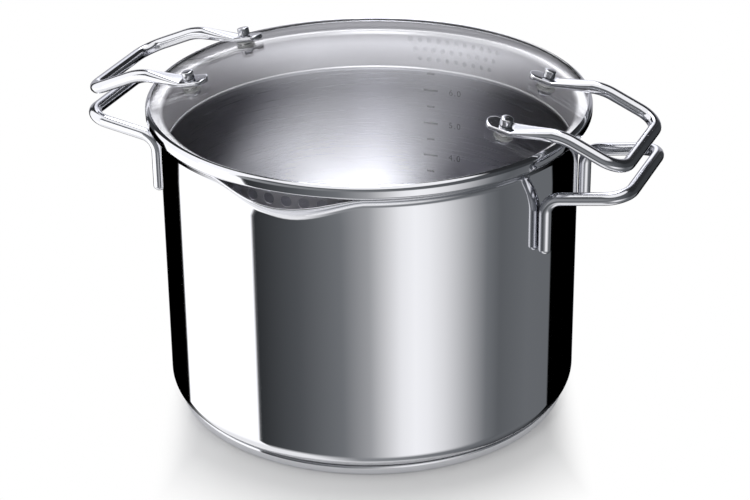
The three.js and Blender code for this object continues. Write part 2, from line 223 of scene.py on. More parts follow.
# %% Give the sheet its thickness
# Two empty material slots let the new inner wall take the second one
pot.data.materials.append(None)
pot.data.materials.append(None)
apply_modifier(pot, "SOLIDIFY", thickness=pot_wall, offset=-1, use_even_offset=True, material_offset=1)
lip_edge = 0.35 * MM
apply_modifier(pot, "BEVEL", width=lip_edge, segments=3, limit_method="ANGLE", angle_limit=math.radians(50))
smooth(pot)
seat(pot, "pot", "pot_shell")
print("pot lip radius", round(pot_high.x / MM, 2), "mm, wall", pot_wall / MM, "mm")

# %% [markdown]
# ## The base
# A dish of thin steel wraps the heat-spreading core under the pot. The dark groove between the dish and
# the round corner of the pot is left open, as on the real one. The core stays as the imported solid, since
# only a sliver of it could ever be seen.

# %% Base cap
cap_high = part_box("base_cap")[1]
cap_wall = 0.6 * MM
cap_corner = 1.5 * MM
cap_radius = cap_high.x
cap_bend = cap_radius - cap_corner
cap_edge = 0.2 * MM
base_cap = turn_outline(
    "base_dish",
    [(share * cap_bend, 0) for share in (0, 0.2, 0.5, 0.8)]
    + arc(cap_bend, cap_corner, cap_corner, -90, 0)
    + arc(cap_radius - cap_edge, cap_high.z - cap_edge, cap_edge, 0, 90, 3)
    + arc(cap_radius - cap_wall + cap_edge, cap_high.z - cap_edge, cap_edge, 90, 180, 3)
    + arc(cap_bend, cap_corner, cap_corner - cap_wall, 0, -90)
    + [(share * cap_bend, cap_wall) for share in (0.8, 0.5, 0.2, 0)],
)
smooth(base_cap)
seat(base_cap, "pot", "base_cap")

# %% [markdown]
# ## Bent rods
# The handles are steel rods bent in a jig. Here a disc is extruded along each straight run and spun
# through each bend, which is just what the jig does. Only one half is bent: a mirror adds the other.
# A bevelled curve would be quicker, but would give no control over the flattened feet later on.

# %% A rod bent along corners, up to the plane y = 0
ROD_SIDES = 32
BEND_STEPS = 10
rod_radius = 3.7 * MM


def turn_from_z(direction):
    """The turn that swings the Z axis to a direction."""
    return Vector((0, 0, 1)).rotation_difference(direction).to_euler()


def start_rod(name, place, along):
    """A filled disc at a place, facing along the rod, in edit mode with its face selected."""
    deselect_all()
    facing = turn_from_z(along)
    bpy.ops.mesh.primitive_circle_add(
        vertices=ROD_SIDES, radius=rod_radius, fill_type="NGON", location=place, rotation=facing
    )
    rod = bpy.context.object
    rod.name = rod.data.name = name
    fix_place()
    edit_all()
    return rod


def bend_rod(name, corners, bends, first_steps):
    """Half a handle: straight runs by extrusion, bends by spinning the end face about their centres."""
    here = corners[0]
    along = (corners[1] - corners[0]).normalized()
    rod = start_rod(name, here, along)
    for step in first_steps:
        push(along * step)
        here = here + along * step
    for corner, after, bend in zip(corners[1:-1], corners[2:], bends):
        onward = (after - corner).normalized()
        turn = along.angle(onward)
        axis = along.cross(onward).normalized()
        tangent = corner - along * bend * math.tan(turn / 2)
        push(tangent - here)
        centre = tangent + axis.cross(along) * bend
        bpy.ops.mesh.spin(steps=BEND_STEPS, angle=-turn, center=centre, axis=axis)
        here = corner + onward * bend * math.tan(turn / 2)
        along = onward
    push(corners[-1] - here)
    bpy.ops.mesh.delete(type="FACE")
    end_edit()
    end = max((v.co for v in rod.data.vertices), key=lambda p: p.x)
    print(name, "half bent, reaches x =", round(end.x / MM, 2), "mm")
    return rod


# %% [markdown]
# ## Pot handles
# Each handle climbs the wall, bends out over a shoulder and closes in a square grip. Its foot is welded
# to the wall and its ends are rounded. The bevel that rounds them acts only on the sharp rim of the end
# discs, which the angle limit picks out.

# %% Pot handles
handle_low, handle_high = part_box("pot_handle_right")
grip_x = handle_high.x - rod_radius
handle_half = 36.4 * MM
fit_gap = 0.3 * MM
shoulder_drop = 21.8 * MM
handle_tilt = math.radians(9.5)
foot_x = math.sqrt((pot_radius + fit_gap + rod_radius) ** 2 - handle_half**2)
shoulder_z = lip_height - shoulder_drop
grip_z = shoulder_z + (grip_x - foot_x) * math.tan(handle_tilt)
shoulder_bend = 10 * MM
grip_bend = 13 * MM
end_round = 3 * MM
HALF_TURN = (0, 0, math.pi)

pot_handle_right = bend_rod(
    "pot_handle_bar_right",
    [
        Vector((foot_x, handle_half, handle_low.z)),
        Vector((foot_x, handle_half, shoulder_z)),
        Vector((grip_x, handle_half, grip_z)),
        Vector((grip_x, 0, grip_z)),
    ],
    [shoulder_bend, grip_bend],
    [],
)
apply_modifier(pot_handle_right, "MIRROR", use_axis=(False, True, False), merge_threshold=MIRROR_SEAM)
apply_modifier(
    pot_handle_right, "BEVEL", width=end_round, segments=6, limit_method="ANGLE", angle_limit=math.radians(60)
)

# %% Finish the first handle and copy it to the other side


def close_normals(piece):
    pick(piece)
    bpy.ops.object.mode_set(mode="EDIT")
    tidy_normals()
    end_edit()


def copy_piece(piece, name, rotation, location=(0, 0, 0)):
    """A copy with its own mesh, turned and moved with its place in the mesh."""
    pick(piece)
    bpy.ops.object.duplicate()
    copy = bpy.context.object
    copy.name = copy.data.name = name
    copy.rotation_euler = rotation
    copy.location = location
    fix_place()
    return copy


close_normals(pot_handle_right)
smooth(pot_handle_right)
pot_handle_left = copy_piece(pot_handle_right, "pot_handle_bar_left", HALF_TURN)
seat(pot_handle_right, "pot", "pot_handle_right")
seat(pot_handle_left, "pot", "pot_handle_left")
print("pot handles", 2 * round(grip_x / MM, 1), "mm apart between their grips")

# %% [markdown]
# ## The glass
# The lid is a shallow dome of tempered glass, the same thickness all over, with a ground round edge. It
# is turned as one closed body, because a glass shader needs a way in and a way out to bend light. Four
# holes let the screws of the lid handles through.

# %% Domed glass
glass_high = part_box("lid_glass")[1]
glass_radius = glass_high.x
glass_thickness = 4 * MM
dome_radius = 420 * MM
dome_centre = glass_high.z - dome_radius
DOME_RINGS = 24


def glass_top(radius):
    return dome_centre + math.sqrt(dome_radius**2 - radius**2)


def glass_bottom(radius):
    return dome_centre + math.sqrt((dome_radius - glass_thickness) ** 2 - radius**2)


dome_shares = [i / DOME_RINGS for i in range(DOME_RINGS + 1)]
glass_edge = 0.6 * MM
ground = glass_radius - glass_edge
lid_glass = turn_outline(
    "glass_dome",
    [(share * ground, glass_bottom(share * ground)) for share in dome_shares]
    + [(glass_radius, glass_bottom(glass_radius) + glass_edge)]
    + [(glass_radius, glass_top(glass_radius) - glass_edge)]
    + [(share * ground, glass_top(share * ground)) for share in reversed(dome_shares)],
)

# %% Feet of the lid handles on the glass
foot_inset = 26.5 * MM
foot_half = 36.8 * MM
rim_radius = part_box("lid_rim")[1].x
foot_radius = rim_radius - foot_inset
foot_along = math.sqrt(foot_radius**2 - foot_half**2)
feet = {}
for side, sign_x in (("right", 1), ("left", -1)):
    for end, sign_y in (("front", -1), ("back", 1)):
        place = Vector((sign_x * foot_along, sign_y * foot_half, glass_top(foot_radius)))
        feet[f"{side}_{end}"] = (place, (place - Vector((0, 0, dome_centre))).normalized())


def drill(piece, holes, radius, depth, sides):
    """Cuts round holes, given as (place, direction), with one joined set of cylinders, and then merges
    the slivers that a cut leaves where it runs close by an edge."""
    deselect_all()
    bits = []
    for place, direction in holes:
        bpy.ops.mesh.primitive_cylinder_add(
            vertices=sides, radius=radius, depth=depth, location=place, rotation=turn_from_z(direction)
        )
        bits.append(bpy.context.object)
    for bit in bits:
        bit.select_set(True)
    bpy.ops.object.join()
    cutter = bpy.context.object
    apply_modifier(piece, "BOOLEAN", operation="DIFFERENCE", solver="EXACT", object=cutter)
    bpy.data.objects.remove(cutter)
    edit_all()
    bpy.ops.mesh.remove_doubles(threshold=SLIVER)
    bpy.ops.mesh.dissolve_degenerate(threshold=SLIVER)
    end_edit()
    print(piece.name, "has", len(bits), "holes of", round(2 * radius / MM, 2), "mm")


glass_hole = 3 * MM
drill_depth = 20 * MM
GLASS_HOLE_SIDES = 32
drill(lid_glass, list(feet.values()), glass_hole, drill_depth, GLASS_HOLE_SIDES)
smooth(lid_glass)
seat(lid_glass, "lid", "lid_glass")

# %% [markdown]
# ## The rolled rim
# A steel channel is rolled round the edge of the glass and grips the flange of the skirt with it. Its
# section is turned with round corners, since the bright line along its outer roll is one of the clearest
# marks of the lid.

# %% Lid rim
rim_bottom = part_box("lid_rim")[0].z
rim_wall = 0.8 * MM
rim_corner = 1.2 * MM
rim_foot_corner = 2 * MM
rim_inside = rim_radius - rim_wall
rim_leg_edge = 124.42 * MM
rim_lip_width = 2.8 * MM
rim_lip_edge = rim_radius - rim_lip_width
ROLL_STEPS = 10


def under_lip(radius):
    return glass_top(radius) + fit_gap


def over_lip(radius):
    return under_lip(radius) + rim_wall


def roll_point(t):
    """The outer roll of the rim: a curve from the upright face over to the lip on the glass."""
    start = Vector((rim_radius, under_lip(rim_radius) - rim_corner))
    middle = Vector((rim_radius, over_lip(rim_radius)))
    end = Vector((rim_radius - 2 * rim_corner, over_lip(rim_radius - 2 * rim_corner)))
    point = start * (1 - t) ** 2 + middle * 2 * t * (1 - t) + end * t**2
    return point.x, point.y


lip_round = rim_wall / 2
lip_middle = under_lip(rim_lip_edge) + lip_round
leg_middle = rim_bottom + lip_round
rim_outline = (
    arc(rim_leg_edge + lip_round, leg_middle, lip_round, 90, 270, 6)
    + arc(rim_radius - rim_foot_corner, rim_bottom + rim_foot_corner, rim_foot_corner, -90, 0, 8)
    + [roll_point(i / ROLL_STEPS) for i in range(ROLL_STEPS + 1)]
    + arc(rim_lip_edge + lip_round, lip_middle, lip_round, 90, 270, 6)
    + [(rim_inside, under_lip(rim_inside)), (rim_inside, rim_bottom + rim_wall)]
)
lid_rim = turn_outline("rolled_rim", rim_outline + rim_outline[:1])
smooth(lid_rim)
seat(lid_rim, "lid", "lid_rim")

# %% [markdown]
# ## The strainer skirt
# Under the glass hangs a steel band with large holes at one side and fine ones at the other. Turning the
# lid puts one or the other behind a pouring lip. The band curls out over the pot's lip into a flat flange,
# and its lower edge is folded inwards into a hem that catches the light.

# %% Skirt body
skirt_low, skirt_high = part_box("strainer_skirt")
skirt_wall = 0.8 * MM
skirt_gap = 2 * MM
skirt_outer = pot_inside - skirt_gap
skirt_inner = skirt_outer - skirt_wall
hem_edge = skirt_inner - skirt_wall
hem_height = 2.6 * MM
flange_edge = skirt_high.x
flange_top = skirt_high.z
flange_bottom = flange_top - skirt_wall
seat_width = 2.4 * MM
seat_rise = 2.4 * MM
seat_start = flange_bottom - seat_rise
edge_round = 0.3 * MM
ring_drop = 0.4 * MM
outer_ring_drop = 19 * MM
inner_ring_drop = 18 * MM


def seat_curve(radius, width, rise, steps=10):
    """A quarter of an ellipse that leaves the wall upright and arrives level at the flange."""
    angles = [math.pi / 2 * i / steps for i in range(steps + 1)]
    return [(radius + width * (1 - math.cos(a)), seat_start + rise * math.sin(a)) for a in angles]


hem_round = hem_height / 2
hem_middle = skirt_low.z + hem_round
hem_swell = (skirt_inner - hem_edge) / hem_round
hem_points = [
    (skirt_inner + (r - skirt_inner) * hem_swell, z)
    for r, z in arc(skirt_inner, hem_middle, hem_round, 90, 270, 12)
]
skirt_outline = (
    hem_points
    + arc(skirt_outer - edge_round, skirt_low.z + edge_round, edge_round, -90, 0, 3)
    + [(skirt_outer, seat_start - outer_ring_drop), (skirt_outer, seat_start - ring_drop)]
    + seat_curve(skirt_outer, seat_width, seat_rise)
    + [(flange_edge, flange_bottom), (flange_edge, flange_top)]
    + seat_curve(skirt_inner, seat_width + skirt_wall, seat_rise + skirt_wall)[::-1]
    + [(skirt_inner, seat_start - ring_drop), (skirt_inner, seat_start - inner_ring_drop)]
    + [(skirt_inner, hem_middle + hem_round + edge_round)]
)
skirt = turn_outline("skirt_band", skirt_outline + skirt_outline[:1])

# %% [markdown]
# The holes are punched in staggered rows. A drill bit stands at each hole, all bits of a size are joined
# and one Boolean cuts them. Cutting leaves long thin faces on the round wall, which would shade in
# patches, so the corner normals of the wall are set to point straight out.

# %% Strainer holes
coarse_azimuth = -90
coarse_counts = (9, 8)
coarse_pitch = 10.3 * MM
coarse_drop = 8.5 * MM
coarse_step = 8.8 * MM
coarse_radius = 3.3 * MM
fine_azimuth = 85
fine_counts = (11, 10, 9)
fine_pitch = 6 * MM
fine_drop = 3 * MM
fine_step = 6 * MM
fine_radius = 1.6 * MM
punch_depth = 5 * MM
COARSE_SIDES = 28
FINE_SIDES = 16


def hole_rows(azimuth, row_counts, pitch, first_drop, row_step):
    """Places and directions of staggered rows of holes about an azimuth in degrees."""
    holes = []
    for row, count in enumerate(row_counts):
        height = rim_bottom - first_drop - row * row_step
        for i in range(count):
            angle = math.radians(azimuth) + (i - (count - 1) / 2) * pitch / skirt_outer
            outward = Vector((math.cos(angle), math.sin(angle), 0))
            holes.append((outward * (skirt_outer - skirt_wall / 2) + Vector((0, 0, height)), outward))
    return holes


coarse_holes = hole_rows(coarse_azimuth, coarse_counts, coarse_pitch, coarse_drop, coarse_step)
fine_holes = hole_rows(fine_azimuth, fine_counts, fine_pitch, fine_drop, fine_step)
drill(skirt, coarse_holes, coarse_radius, punch_depth, COARSE_SIDES)
drill(skirt, fine_holes, fine_radius, punch_depth, FINE_SIDES)

# %% Straight normals on the drilled wall
UPRIGHT = 0.99


def level_wall_normals(piece, low, high):
    """Sets the corner normals of an upright round wall to point straight out, or straight in."""
    mesh = piece.data
    normals = [corner.vector.copy() for corner in mesh.corner_normals]
    for face in mesh.polygons:
        radial = Vector((face.center.x, face.center.y, 0)).normalized()
        facing = face.normal.dot(radial)
        if low < face.center.z < high and abs(facing) > UPRIGHT:
            for loop in face.loop_indices:
                point = mesh.vertices[mesh.loops[loop].vertex_index].co
                normals[loop] = Vector((point.x, point.y, 0)).normalized() * math.copysign(1, facing)
    mesh.normals_split_custom_set(normals)


smooth(skirt)
level_wall_normals(skirt, hem_middle + hem_round, seat_start)
print("skirt has", len(skirt.data.polygons), "faces after drilling")
seat(skirt, "lid", "strainer_skirt")

# %% [markdown]
# ## Lid handles
# The rod of a lid handle is pressed flat at both ends, so that a screw can hold it on the glass. It is
# bent first as a round rod, exactly as in the workshop, and then pressed: each point near the foot slides
# from the round section to a flat one with round sides. The plan of the foot ends in a half circle.

# %% Bend the lid handle
tab_width = 12.6 * MM
tab_thickness = 3 * MM
tab_inner = 11 * MM
tab_outer = 4 * MM
tab_end_round = 4 * MM
tab_taper = 4 * MM
tab_bend = 12 * MM
tab_level = 3.1 * MM
lid_grip_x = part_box("lid_handle_right")[1].x - rod_radius
lid_shoulder_bend = 32 * MM
lid_rise = 0.3 * MM
lid_droop = math.radians(24)
foot_place, foot_normal = feet["right_back"]
foot_outward = Vector((foot_normal.z, 0, -foot_normal.x)).normalized()
tab_middle = foot_place + foot_normal * tab_level
tab_end = tab_middle - foot_outward * tab_inner
tab_out = tab_middle + foot_outward * tab_outer
lid_shoulder = Vector((rim_radius, tab_out.y, tab_out.z + lid_rise))
lid_grip_z = lid_shoulder.z - (lid_grip_x - rim_radius) * math.tan(lid_droop)
lid_corners = [
    tab_end,
    tab_out,
    lid_shoulder,
    Vector((lid_grip_x, tab_out.y, lid_grip_z)),
    Vector((lid_grip_x, 0, lid_grip_z)),
]
# Short steps at the end give the press enough rings to round the foot off
END_STEPS = [0.03, 0.07, 0.1, 0.2, 0.3, 0.4, 0.5, 0.7, 0.8, 0.9, 1.0, 1.0]
lid_bends = [tab_bend, lid_shoulder_bend, grip_bend]
lid_handle_right = bend_rod("lid_handle_bar_right", lid_corners, lid_bends, [s * MM for s in END_STEPS])

# %% Where the rod runs near its foot
onward = (lid_shoulder - tab_out).normalized()
bend_turn = foot_outward.angle(onward)
bend_axis = foot_outward.cross(onward).normalized()
bend_start = tab_out - foot_outward * tab_bend * math.tan(bend_turn / 2)
bend_end = tab_out + onward * tab_bend * math.tan(bend_turn / 2)
bend_centre = bend_start + bend_axis.cross(foot_outward) * tab_bend
print("rod turns", round(math.degrees(bend_turn), 1), "degrees behind its foot")


def rod_station(point):
    """Centre of the rod beside a point, the way the rod runs there, and how far past the foot it is."""
    if (point - bend_start).dot(foot_outward) <= 0:
        return tab_end + foot_outward * (point - tab_end).dot(foot_outward), foot_outward, 0.0
    past = (point - bend_end).dot(onward)
    if past >= 0:
        return bend_end + onward * past, onward, past
    arm = bend_start - bend_centre
    reach = point - bend_centre
    angle = math.atan2(bend_axis.dot(arm.cross(reach)), arm.dot(reach))
    swing = Quaternion(bend_axis, angle)
    return bend_centre + swing @ arm, swing @ foot_outward, 0.0


# %% Press the foot flat
FLAT_CORNER = 0.4
END_NARROW = 0.003
BORE_SIDES = 24
bore = 2.3 * MM


def squared(value):
    return math.copysign(abs(value) ** FLAT_CORNER, value)


def press_foot(point):
    centre, along, past = rod_station(point)
    if past > tab_taper:
        return point
    level = (foot_normal - along * foot_normal.dot(along)).normalized()
    side = along.cross(level)
    angle = math.atan2((point - centre).dot(level), (point - centre).dot(side))
    from_end = (centre - tab_end).length / tab_end_round
    narrow = math.sqrt(max(1 - (1 - from_end) ** 2, END_NARROW)) if from_end < 1 else 1.0
    share = past / tab_taper
    share = share * share * (3 - 2 * share)
    flat_side = squared(math.cos(angle)) * tab_width / 2 * narrow
    flat_level = squared(math.sin(angle)) * tab_thickness / 2
    across = flat_side + (rod_radius * math.cos(angle) - flat_side) * share
    above = flat_level + (rod_radius * math.sin(angle) - flat_level) * share
    return centre + side * across + level * above


for vertex in lid_handle_right.data.vertices:
    vertex.co = press_foot(vertex.co.copy())
apply_modifier(lid_handle_right, "MIRROR", use_axis=(False, True, False), merge_threshold=MIRROR_SEAM)
close_normals(lid_handle_right)
drill(lid_handle_right, [feet["right_front"], feet["right_back"]], bore, drill_depth, BORE_SIDES)
smooth(lid_handle_right)
lid_handle_left = copy_piece(lid_handle_right, "lid_handle_bar_left", HALF_TURN)
seat(lid_handle_right, "lid", "lid_handle_right")
seat(lid_handle_left, "lid", "lid_handle_left")

# %% [markdown]
# ## Screws, nuts and washers
# A screw comes up through the glass between two soft washers and ends in a plain round cap nut on the
# foot. Each of the four kinds is turned once about Z and copied to the four feet, where it is tilted to
# stand square on the dome.

# %% Turn one of each fastener
FASTENER_STEPS = 40
washer_radius = 5.5 * MM
washer_thick = 1 * MM
washer_edge = 0.3 * MM
nut_radius = 3.5 * MM
nut_height = 4.6 * MM
nut_bore_depth = 3.3 * MM
nut_floor = tab_level + tab_thickness / 2 + fit_gap
nut_top = nut_floor + nut_height
nut_bore_top = nut_floor + nut_bore_depth
nut_edge = 0.6 * MM
nut_foot_edge = 0.2 * MM
nut_crown = 0.15 * MM
nut_top_ring = 0.45 * nut_radius
nut_top_dip = 0.04 * MM


def washer_outline(floor):
    """A flat ring with soft outer edges."""
    top = floor + washer_thick
    soft = washer_radius - washer_edge
    return (
        [(bore, floor)]
        + arc(soft, floor + washer_edge, washer_edge, -90, 0, 4)
        + arc(soft, top - washer_edge, washer_edge, 0, 90, 4)
        + [(bore, top), (bore, floor)]
    )


upper_washer = turn_outline("soft_washer_upper", washer_outline(fit_gap), FASTENER_STEPS)
lower_floor = -glass_thickness - fit_gap - washer_thick
lower_washer = turn_outline("soft_washer_lower", washer_outline(lower_floor), FASTENER_STEPS)
nut = turn_outline(
    "round_nut",
    [(0, nut_bore_top), (bore, nut_bore_top), (bore, nut_floor), (nut_radius - nut_foot_edge, nut_floor)]
    + [(nut_radius, nut_floor + nut_foot_edge)]
    + arc(nut_radius - nut_edge, nut_top - nut_edge - nut_crown, nut_edge, 0, 80, 6)
    + [(nut_top_ring, nut_top - nut_top_dip), (0, nut_top)],
    FASTENER_STEPS,
)

# %% Turn the screw and sink its hexagon socket
head_top = lower_floor - fit_gap
head_radius = 4.2 * MM
head_height = 2.4 * MM
head_round = head_height / 2
socket_radius = 1.7 * MM
socket_depth = 2.6 * MM
SOCKET_SIDES = 6
shank = 2 * MM
shank_edge = 0.4 * MM
screw_grip = 3 * MM
shank_top = nut_floor + screw_grip
screw = turn_outline(
    "lid_screw",
    [(0, head_top - head_height)]
    + arc(head_radius - head_round, head_top - head_round, head_round, -90, 0, 6)
    + [(head_radius, head_top), (shank, head_top), (shank, shank_top - shank_edge)]
    + [(shank - shank_edge, shank_top), (0, shank_top)],
    FASTENER_STEPS,
)
head_middle = Vector((0, 0, head_top - head_height))
drill(screw, [(head_middle, Vector((0, 0, 1)))], socket_radius, socket_depth, SOCKET_SIDES)

# %% Copy them to the four feet
fasteners = {"handle_steel": [], "silicone": []}
for pattern, node, slot in (
    (nut, "cap_nut", "handle_steel"),
    (upper_washer, "upper_washer", "silicone"),
    (lower_washer, "lower_washer", "silicone"),
    (screw, "screw", "handle_steel"),
):
    smooth(pattern)
    for foot, (place, normal) in feet.items():
        piece = copy_piece(pattern, f"{pattern.name}_{foot}", turn_from_z(normal), place)
        seat(piece, "lid", f"{node}_{foot}")
        fasteners[slot].append(piece)
    bpy.data.objects.remove(pattern)
print({slot: len(pieces) for slot, pieces in fasteners.items()})

# %% [markdown]
# ## Litre marks
# Inside the pot a scale is etched in the wall: a long dash for each whole litre with its number beside it,
# and a short dash for each half. The heights follow from the pot itself: a litre fills this wall to a
# height of one litre over the area of the floor. The whole scale sits about a millimetre higher than that.
# Text is made a mesh first, and then each point is wrapped on the wall. The marks stand a few hundredths
# of a millimetre proud, like the burr of an etch.

# %% Etched scale
inner_floor = pot_floor + pot_wall
litre_rise = 0.001 / (math.pi * pot_inside**2)
scale_lift = 1.2 * MM
scale_azimuth = math.radians(93.6)
number_azimuth = math.radians(85.9)
mark_proud = 0.03 * MM
mark_deep = 0.2 * MM
dash_height = 1.2 * MM
whole_dash = 9.3 * MM
half_dash = 4.9 * MM
digit_size = 5.6 * MM
digit_spacing = 1.25
FIRST_HALF_LITRE = 7
LAST_HALF_LITRE = 13


def wrap_on_wall(piece, azimuth, height):
    """Lays a flat drawing on the inner wall: x runs to the right, y up, z towards the axis."""
    for vertex in piece.data.vertices:
        x, y, z = vertex.co
        angle = azimuth - x / pot_inside
        radius = pot_inside - z
        vertex.co = (radius * math.cos(angle), radius * math.sin(angle), height + y)


def dash(width, height):
    deselect_all()
    bpy.ops.mesh.primitive_plane_add(size=1)
    mark = bpy.context.object
    mark.scale = (width, dash_height, 1)
    mark.location.z = -mark_deep
    fix_place()
    edit_all()
    bpy.ops.mesh.subdivide(number_cuts=3)
    push((0, 0, mark_deep + mark_proud))
    tidy_normals()
    end_edit()
    wrap_on_wall(mark, scale_azimuth, height)
    return mark


def number(text, height):
    deselect_all()
    bpy.ops.object.text_add()
    mark = bpy.context.object
    mark.data.body = text
    mark.data.size = digit_size
    mark.data.align_x = "CENTER"
    mark.data.align_y = "CENTER"
    mark.data.space_character = digit_spacing
    mark.data.resolution_u = 4
    mark.data.extrude = (mark_deep + mark_proud) / 2
    bpy.ops.object.convert(target="MESH")
    mark = bpy.context.object
    mark.location.z = (mark_proud - mark_deep) / 2
    fix_place()
    wrap_on_wall(mark, number_azimuth, height)
    return mark


# %% Marks from the lowest to the highest
marks = []
for half_litres in range(FIRST_HALF_LITRE, LAST_HALF_LITRE + 1):
    litres = half_litres / 2
    height = inner_floor + litres * litre_rise + scale_lift
    whole = half_litres % 2 == 0
    marks.append(dash(whole_dash if whole else half_dash, height))
    if whole:
        marks.append(number(f"{litres:.1f}", height))
deselect_all()
for mark in marks:
    mark.select_set(True)
bpy.context.view_layer.objects.active = marks[0]
bpy.ops.object.join()
litre_marks = bpy.context.object
litre_marks.name = litre_marks.data.name = "litre_marks"
close_normals(litre_marks)
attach(litre_marks, "pot")
print("a litre is", round(litre_rise / MM, 2), "mm of height")

# %% [markdown]
# ## Finishes
# Steel shows its surroundings, so what makes it look real is how it scatters them. The outside is polished
# to a mirror, the inside is brushed round the axis and the handles are buffed. A material is mostly sums
# on values, so a few short helpers come first: each adds one node, feeds it and hands on what it puts out.

# %% Helpers for nodes


def add(tree, kind, **settings):
    node = tree.nodes.new(kind)
    for name, value in settings.items():
        setattr(node, name, value)
    return node


def set_inputs(node, values):
    for name, value in values.items():
        node.inputs[name].default_value = value


def feed(tree, sockets, values):
    """Links each socket to another node's output, or sets it to a plain value."""
    for socket, value in zip(sockets, values):
        if isinstance(value, bpy.types.NodeSocket):
            tree.links.new(value, socket)
        else:
            socket.default_value = value


def maths(tree, operation, *values):
    node = add(tree, "ShaderNodeMath", operation=operation)
    feed(tree, node.inputs, values)
    return node.outputs[0]


def vectors(tree, operation, *values):
    """A sum on vectors. Lengths and dot products come out as a plain number."""
    node = add(tree, "ShaderNodeVectorMath", operation=operation)
    feed(tree, node.inputs, values)
    return node.outputs["Value" if operation in ("LENGTH", "DOT_PRODUCT") else "Vector"]


def mapped(tree, value, low, high, to_low=0.0, to_high=1.0, way="LINEAR"):
    """Stretches a value from one range to another and holds it at the ends."""
    node = add(tree, "ShaderNodeMapRange", interpolation_type=way)
    sockets = [node.inputs[name] for name in ("Value", "From Min", "From Max", "To Min", "To Max")]
    feed(tree, sockets, (value, low, high, to_low, to_high))
    return node.outputs["Result"]


def mixed_shaders(tree, share, first, second):
    node = add(tree, "ShaderNodeMixShader")
    feed(tree, node.inputs, (share, first, second))
    return node.outputs[0]


def mixed_colours(tree, share, first, second):
    node = add(tree, "ShaderNodeMix", data_type="RGBA")
    feed(tree, (node.inputs[0], node.inputs[6], node.inputs[7]), (share, first, second))
    return node.outputs[2]


def object_place(tree):
    return add(tree, "ShaderNodeTexCoord").outputs["Object"]


def split(tree, vector):
    node = add(tree, "ShaderNodeSeparateXYZ")
    feed(tree, node.inputs, (vector,))
    return list(node.outputs)


def combined(tree, x, y, z):
    node = add(tree, "ShaderNodeCombineXYZ")
    feed(tree, node.inputs, (x, y, z))
    return node.outputs[0]


def noise(tree, place, scale, detail, roughness=0.5):
    node = add(tree, "ShaderNodeTexNoise")
    feed(tree, (node.inputs["Vector"],), (place,))
    set_inputs(node, {"Scale": scale, "Detail": detail, "Roughness": roughness})
    return node.outputs["Fac"]


# %% [markdown]
# Polishing and brushing on a lathe leave fine lines that run round the axis. More than one finish shows
# them, so they are a node group. Noise is read at a point that moves slowly round the pot and fast across
# the lines, which draws the noise out into streaks.

# %% Lines that run round the axis
LINE_DETAIL = 4
LINE_ROUGHNESS = 0.6


def turned_lines():
    group = bpy.data.node_groups.new("turned_lines", "ShaderNodeTree")
    for name, way in (("Density", "INPUT"), ("Streak", "INPUT"), ("Lines", "OUTPUT")):
        group.interface.new_socket(name, in_out=way, socket_type="NodeSocketFloat")
    given = add(group, "NodeGroupInput").outputs
    made = add(group, "NodeGroupOutput").inputs
    x, y, z = split(group, object_place(group))
    flat = combined(group, x, y, 0.0)
    across = maths(group, "ADD", vectors(group, "LENGTH", flat), z)
    dense = maths(group, "MULTIPLY", across, given["Density"])
    streak = vectors(group, "MULTIPLY", vectors(group, "NORMALIZE", flat), given["Streak"])
    point = vectors(group, "ADD", streak, combined(group, 0.0, 0.0, dense))
    feed(group, (made["Lines"],), (noise(group, point, 1, LINE_DETAIL, LINE_ROUGHNESS),))
    return group


lines_group = turned_lines()
print("node group", lines_group.name, "with", len(lines_group.nodes), "nodes")

# %% Turned steel
STEEL = (0.78, 0.785, 0.82, 1)
NOISE_LOW = 0.3
NOISE_HIGH = 0.7
LINE_DEPTH = 0.02 * MM
QUARTER_TURN = 0.25


def new_finish(name):
    material = bpy.data.materials.new(name)
    material.use_nodes = True
    tree = material.node_tree
    return material, tree, tree.nodes["Principled BSDF"]


def ranged(tree, value, low, high):
    """Stretches the values where noise mostly lies to the range that a socket needs."""
    return mapped(tree, value, NOISE_LOW, NOISE_HIGH, low, high)


def turned_steel(name, colour, density, streak, rough_low, rough_high, relief, brushed=0.0):
    """Steel with lines round the axis, which vary its roughness and lift its surface a little.
    Where it is brushed, light spreads across the lines, so the tangent is turned a quarter from them."""
    material, tree, shader = new_finish(name)
    set_inputs(shader, {"Base Color": colour, "Metallic": 1})
    lines = add(tree, "ShaderNodeGroup", node_tree=lines_group)
    set_inputs(lines, {"Density": density, "Streak": streak})
    value = lines.outputs["Lines"]
    bump = add(tree, "ShaderNodeBump")
    set_inputs(bump, {"Strength": relief, "Distance": LINE_DEPTH})
    tree.links.new(ranged(tree, value, rough_low, rough_high), shader.inputs["Roughness"])
    tree.links.new(value, bump.inputs["Height"])
    tree.links.new(bump.outputs["Normal"], shader.inputs["Normal"])
    if brushed:
        set_inputs(shader, {"Anisotropic": brushed, "Anisotropic Rotation": QUARTER_TURN})
        tangent = add(tree, "ShaderNodeTangent", direction_type="RADIAL", axis="Z")
        tree.links.new(tangent.outputs[0], shader.inputs["Tangent"])
    return material


polished_steel = turned_steel("polished_steel", STEEL, 700, 3, 0.02, 0.05, 0.02)
satin_steel = turned_steel("satin_steel", (0.6, 0.6, 0.64, 1), 1800, 2, 0.26, 0.32, 0.03, 0.75)
skirt_steel = turned_steel("skirt_steel", (0.86, 0.85, 0.88, 1), 1800, 2, 0.7, 0.8, 0.05)
hem_steel = turned_steel("hem_steel", (0.88, 0.88, 0.91, 1), 1800, 2, 0.28, 0.34, 0.03)
print("turned finishes", [m.name for m in (polished_steel, satin_steel, skirt_steel, hem_steel)])

# %% [markdown]
# The handles are buffed on a soft wheel, so they are bright with faint smears and no direction. On the
# skirt, the drilled wall is dull and light, while its folded hem and curled seat are brighter: they were
# rolled and not blasted. A second material slot on those faces is enough for that.

# %% Buffed steel, and steel on its pieces
BUFF_SCALE = 160
BUFF_DETAIL = 5


